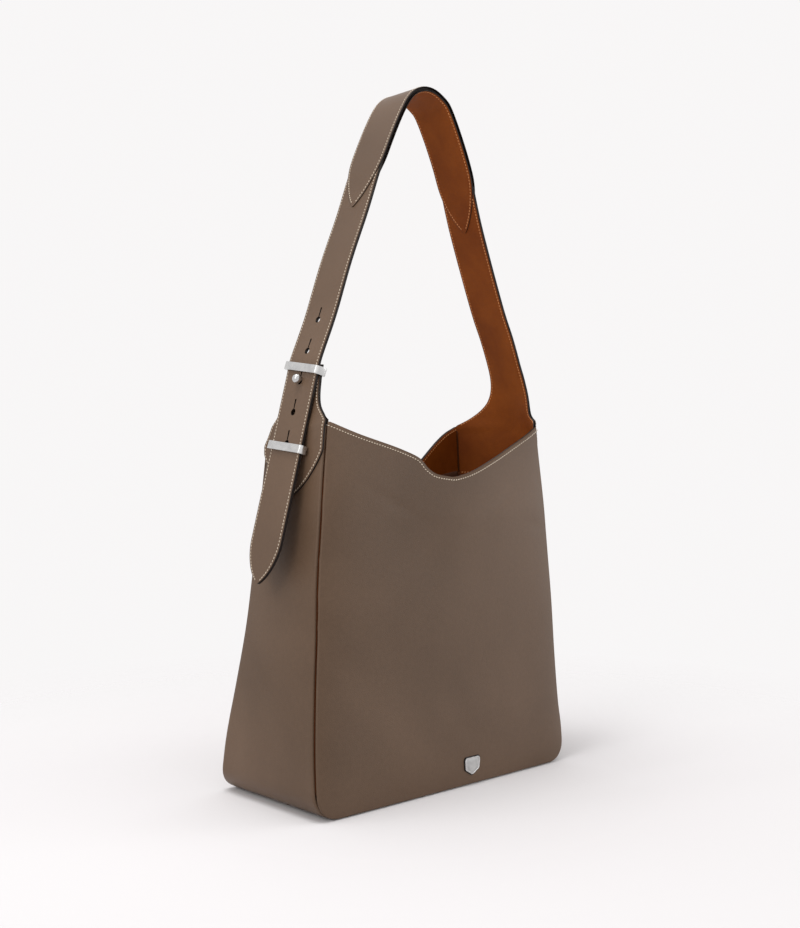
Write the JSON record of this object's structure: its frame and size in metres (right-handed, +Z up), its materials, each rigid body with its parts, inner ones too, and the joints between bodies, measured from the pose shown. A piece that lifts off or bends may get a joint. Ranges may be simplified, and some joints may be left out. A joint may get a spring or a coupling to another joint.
{
  "type": "hobo bag",
  "caption": "Slouchy leather hobo bag with a dipped rim, wrapped gusset, interior zip pocket and a single adjustable shoulder strap with metal keepers.",
  "frame": {"origin": "centre of the bag's flat underside", "axes": "+X along the bag's width towards the strap's plain end, -Y towards the bag's front, +Z up"},
  "size_m": [0.3298, 0.1425, 0.6522],
  "materials": {
    "leather_taupe": "smooth full-grain leather, low sheen",
    "leather_cognac": "smooth vegetable-tanned leather",
    "lining": "woven lining",
    "board": "stiffener board",
    "metal": "polished nickel",
    "zip_metal": "satin"
  },
  "bodies": {
    "root": {"front_panel": "leather_taupe", "back_panel": "leather_taupe", "gusset_left": "leather_taupe", "gusset_right": "leather_taupe", "base_panel": "leather_taupe", "neck_left_outer": "leather_taupe", "neck_right_outer": "leather_taupe", "strap_tail_outer": "leather_taupe", "facing_front": "leather_cognac", "facing_back": "leather_cognac", "facing_left": "leather_cognac", "facing_right": "leather_cognac", "neck_left_inner": "leather_cognac", "neck_right_inner": "leather_cognac", "strap_tail_inner": "leather_cognac", "zip_frame": "leather_cognac", "lining_front": "lining", "lining_back": "lining", "lining_left": "lining", "lining_right": "lining", "base_lining": "lining", "zip_tape": "lining", "zip_pocket_bag": "lining", "slip_pocket": "lining", "base_board": "board", "upper_ring": "metal", "lower_keeper": "metal", "keeper_post": "metal", "strap_stud": "metal", "stud_screw": "metal", "badge_plate": "metal", "badge_face": "metal", "snap_socket": "metal", "snap_stud": "metal", "zip_teeth": "zip_metal"},
    "strap": {"strap_left_outer": "leather_taupe", "strap_left_inner": "leather_cognac", "shoulder_outer": "leather_taupe", "shoulder_inner": "leather_cognac", "strap_right_outer": "leather_taupe", "strap_right_inner": "leather_cognac"},
    "zip_slider": {"zip_slider": "zip_metal"},
    "zip_pull": {"zip_pull": "zip_metal"}
  },
  "joints": [
    {"name": "strap_swing", "type": "hinge", "parent": "root", "child": "strap", "pos_m": [0, 0, 0.416], "axis": [1, 0, 0], "range_deg": [-95, 95]},
    {"name": "zip_slide", "type": "slide", "parent": "root", "child": "zip_slider", "axis": [1, 0, 0], "range_m": [0, 0.132]},
    {"name": "zip_pull_swing", "type": "hinge", "parent": "zip_slider", "child": "zip_pull", "pos_m": [-0.066, 0.04909, 0.20454], "axis": [1, 0, 0], "range_deg": [-90, 0]}
  ]
}
